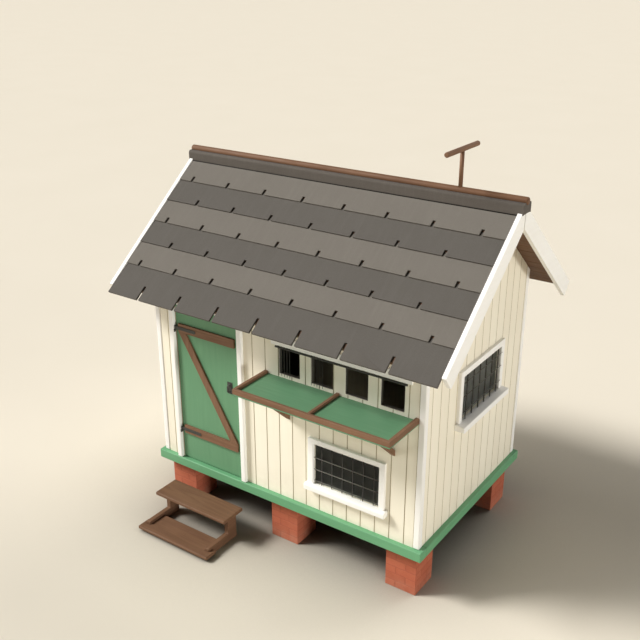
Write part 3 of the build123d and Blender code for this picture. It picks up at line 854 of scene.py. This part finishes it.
def make_bars(opening, stand, size, pitch, offset, heights):
    """A grille of flat uprights with thin round bars laid across their faces, the bars in a paler iron that
    is a painted highlight.
    """
    low, high = opening["along"]
    width, thickness = size
    near = opening["face"] + opening["outward"] * stand
    far = near + opening["outward"] * thickness
    middle = (low + high) / 2 + offset
    mesh = bmesh.new()
    for i in range(upright_count):
        centre = middle + (i - (upright_count - 1) / 2) * pitch
        alongs = (centre - width / 2, centre + width / 2)
        add_wall_block(mesh, opening, alongs, (near, far), opening["z"], bar_edge)
    as_piece(mesh, opening["name"] + "_uprights", "loft", [bar_iron])
    mesh = bmesh.new()
    depth = far + opening["outward"] * cross_bar_radius
    for z in heights:
        start = in_wall(opening, low, depth, z)
        end = in_wall(opening, high, depth, z)
        add_round_bar(mesh, start, end, cross_bar_radius, sides=12)
    as_piece(mesh, opening["name"] + "_cross_bars", "loft", [cross_iron_painted_highlight])


def make_pane(opening, reveal):
    """A sheet of glass that stands in the opening, behind the painted part of its reveals."""
    near = opening["face"] - opening["outward"] * reveal
    far = near - opening["outward"] * pane_thickness
    alongs = (opening["along"][0] + pane_fit, opening["along"][1] - pane_fit)
    heights = (opening["z"][0] + pane_fit, opening["z"][1] - pane_fit)
    mesh = bmesh.new()
    add_wall_block(mesh, opening, alongs, (near, far), heights, pane_edge)
    as_piece(mesh, opening["name"] + "_glass", "loft", [glass])


def make_windows():
    """Bars and panes in the openings that the frames leave, one in the front and one in each gable."""
    frame_low, frame_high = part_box("front_window_frame")
    opening = {
        "name": "front_window",
        "along_x": True,
        "along": (frame_low.x + window_jamb, frame_high.x - window_jamb),
        "z": (frame_low.z, frame_high.z - front_head),
        "face": wall_front,
        "outward": -1,
    }
    make_bars(opening, bar_stand_front, bar_size_front, bar_pitch_front, bar_offset_front, cross_bars_front)
    make_pane(opening, front_reveal)
    frame_low, frame_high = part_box("gable_window_frames")
    for name, side in (("right_window", 1), ("left_window", -1)):
        opening = {
            "name": name,
            "along_x": False,
            "along": (frame_low.y + window_jamb, frame_high.y - window_jamb),
            "z": (frame_low.z, frame_high.z - gable_head),
            "face": side * wall_end,
            "outward": side,
        }
        make_bars(opening, bar_stand_gable, bar_size_gable, bar_pitch_gable, 0.0, cross_bars_gable)
        make_pane(opening, gable_reveal)
    for name in ("front_window_frame", "front_window_sill"):
        dress(name, white_level, edge=0.008, segments=3)
    for name in ("gable_window_frames", "gable_window_sills"):
        dress(name, white_gable, edge=0.008, segments=3)


# Door


def add_screw(mesh, place, outward, size):
    """A domed screw or nail head on a face, its foot a little below it."""
    radius, stand = size
    start = place - outward * screw_seat
    add_round_bar(mesh, start, place + outward * stand, radius, sides=12, rim=stand * 0.9)


def make_door():
    """The leaf with its timber and ironwork, its screws, and the trims round the doorway."""
    dress("door_leaf", door_green, edge=0.003)
    dress("door_ledges", brown_level, edge=0.005)
    dress("door_brace", brown_upright, edge=0.003)
    dress("hinge_straps", black_iron, edge=0.0012)
    dress("hinge_pins", black_iron, edge=0.001, segments=1)
    dress("door_handle", black_iron, edge=0.0015)
    dress("door_side_trims", white_upright, edge=0.010, segments=3)
    dress("door_head_trim", white_level, edge=0.010, segments=3)
    outward = Vector((0, -1, 0))
    mesh = bmesh.new()
    strap_low, strap_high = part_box("hinge_straps")
    strap_face = ledge_face - strap_thickness
    for z in (strap_low.z + strap_height / 2, strap_high.z - strap_height / 2):
        for back in strap_screw_places:
            add_screw(mesh, Vector((strap_high.x - back, strap_face, z)), outward, strap_screw)
    plate_low, plate_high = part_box("door_handle")
    plate_face = wall_front - plate_thickness
    for x in (plate_low.x + plate_screw_inset, plate_high.x - plate_screw_inset):
        for z in (plate_low.z + plate_screw_inset, plate_high.z - plate_screw_inset):
            add_screw(mesh, Vector((x, plate_face, z)), outward, plate_screw)
    as_piece(mesh, "door_screws", "door", [black_iron])


# Trim, base, landing and steps


def make_trim():
    """White boards at the corners, verges and openings, and the green base."""
    dress("corner_posts", white_upright, edge=0.010, segments=3)
    dress("bargeboards", white_gable, edge=0.007, segments=3)
    dress("opening_head_board", white_level, edge=0.006)
    dress("base_long_beams", base_green, edge=0.007, segments=3)
    dress("base_end_beams", end_green, edge=0.007, segments=3)


def make_landing():
    """The landing board with its lips and struts, and the wires that hang over it."""
    dress("landing_board", landing_green, edge=0.003)
    dress("landing_front_lip", brown_level, edge=0.005, segments=3)
    dress("landing_side_lips", brown_cross, edge=0.004, segments=3)
    dress("landing_divider", brown_cross, edge=0.005, segments=3)
    dress("landing_struts", brown_cross, edge=0.004)
    dress("drop_wire_rail", black_iron)
    dress("drop_wires_1", dull_wire)
    dress("drop_wires_2", dull_wire)


def make_treads():
    """The treads, the lower one with its ends cut back to a shoulder beside the runners."""
    mesh = merged("step_treads")
    shoulder = tread_low.y + tread_shoulder
    between = (tread_low.z + tread_high.z) / 2
    low_part = [vertex for vertex in mesh.verts if vertex.co.z < between]
    edges = once_each(edge for vertex in low_part for edge in vertex.link_edges)
    faces = once_each(face for vertex in low_part for face in vertex.link_faces)
    bmesh.ops.bisect_plane(
        mesh,
        geom=[*low_part, *edges, *faces],
        dist=weld_distance,
        plane_co=Vector((0, shoulder, 0)),
        plane_no=Vector((0, 1, 0)),
    )
    spare = []
    for vertex in mesh.verts:
        x, y, z = vertex.co
        beside = x < cheek_low.x + plane_tolerance or x > cheek_high.x - plane_tolerance
        if beside and y > shoulder + plane_tolerance and z < between:
            spare.append(vertex)
    bmesh.ops.delete(mesh, geom=spare, context="VERTS")
    bmesh.ops.holes_fill(mesh, edges=[edge for edge in mesh.edges if edge.is_boundary], sides=0)
    piece = as_piece(mesh, "shaped_treads", "loft", [step_level], ["step_treads"])
    ease_edges(piece, edge=0.009, segments=3)


def make_steps():
    """The loose steps, nailed through the upper tread."""
    dress("step_cheeks", step_side, edge=0.006, segments=3)
    make_treads()
    mesh = bmesh.new()
    for x in (cheek_low.x + nail_inset, cheek_high.x - nail_inset):
        for back in nails_from_back:
            add_screw(mesh, Vector((x, cheek_high.y - back, tread_high.z)), Vector((0, 0, 1)), tread_nail)
    as_piece(mesh, "tread_nails", "loft", [black_iron])


def make_shingles():
    """The courses in their two shades."""
    dress("light_shingles", light_shingle, edge=0.005, segments=3)
    dress("dark_shingles", dark_shingle, edge=0.005, segments=3)


# Floor, light and camera

floor_size = 300.0
floor_colours = (tint(226, 218, 202), tint(229, 221, 206))
shade_reach = 1.5
backdrop_colour = tint(242, 232, 213)
sky_colour = (1.0, 0.985, 0.95, 1.0)
sky_strength = 0.02
lamp_colour = (1.0, 0.985, 0.955)
camera_place = (4.2898, -6.37045, 5.2511)
camera_dip = 0.3989
camera_turn = 0.6061


def make_ground():
    """A plain pale floor with a faint mottling, and painted shade in its colour where little of the sky
    shows.
    """
    mesh = bmesh.new()
    bmesh.ops.create_grid(mesh, x_segments=1, y_segments=1, size=floor_size)
    data = bpy.data.meshes.new("studio_floor")
    mesh.to_mesh(data)
    mesh.free()
    ground = in_scene("studio_floor", data)
    material, tree, shader, place = new_material("studio_floor")
    mottling = noise(tree, place, scale=0.6)
    colour = blend(tree, mottling, *floor_colours)
    roughness = remap(tree, mottling, 0.3, 0.7, 0.86, 0.94)
    # Painted shade: the floor's colour is darkened by how much of the sky each point can't see.
    open_sky = shade(tree, "AmbientOcclusion", {"Distance": shade_reach}, samples=16).outputs["AO"]
    colour = blend(tree, remap(tree, open_sky, 0.0, 1.0, 0.85, 0.0), colour, tint(0, 0, 0))
    tree.links.new(colour, shader.inputs["Base Color"])
    tree.links.new(roughness, shader.inputs["Roughness"])
    shader.inputs["Specular IOR Level"].default_value = 0.1
    data.materials.append(material)


def add_lamp(name, to_light, energy, spread):
    """A far, broad lamp, given by the way towards it and its spread in degrees."""
    lamp = bpy.data.lights.new(name, "SUN")
    lamp.energy = energy
    lamp.angle = radians(spread)
    lamp.color = lamp_colour
    holder = in_scene(name, lamp)
    holder.rotation_euler = Vector(to_light).to_track_quat("Z", "Y").to_euler()


def make_light():
    """A main lamp from the left of the front with a softer halo, one behind, two low fills and a sky."""
    from_left = (-0.640, -0.401, 0.655)
    add_lamp("main_lamp", from_left, energy=3.55, spread=16.5)
    add_lamp("halo_lamp", from_left, energy=0.80, spread=50.0)
    add_lamp("back_lamp", (0.26, 0.78, 0.56), energy=1.00, spread=40.0)
    add_lamp("left_fill", (-0.80, -0.58, 0.15), energy=0.42, spread=20.0)
    add_lamp("right_fill", (0.98, -0.14, 0.055), energy=1.36, spread=10.0)
    world = bpy.data.worlds.new("studio")
    bpy.context.scene.world = world
    world.use_nodes = True
    tree = world.node_tree
    tree.nodes.clear()
    sky = shade(tree, "Background", {"Color": sky_colour, "Strength": sky_strength})
    seen = shade(tree, "Background", {"Color": backdrop_colour, "Strength": 1.0})
    camera_ray = shade(tree, "LightPath").outputs["Is Camera Ray"]
    mixed = shade(tree, "MixShader", {0: camera_ray, 1: sky.outputs[0], 2: seen.outputs[0]})
    output = shade(tree, "OutputWorld")
    tree.links.new(mixed.outputs[0], output.inputs["Surface"])


def make_camera():
    """The camera where the photograph's was, solved from its straight edges."""
    lens = bpy.data.cameras.new("camera")
    lens.lens = 50.0
    lens.sensor_width = 36.0
    lens.clip_end = 1000.0
    camera = in_scene("camera", lens)
    camera.location = camera_place
    camera.rotation_euler = (pi / 2 - camera_dip, 0.0, camera_turn)
    bpy.context.scene.camera = camera


make_camera()
make_light()
make_ground()
make_walls()
make_roof_boards()
make_floor()
make_piers()
make_ridge_cap()
make_ridge_pole()
make_perch()
make_shingles()
make_windows()
make_door()
make_trim()
make_landing()
make_steps()

bpy.context.scene.view_settings.view_transform = "Standard"
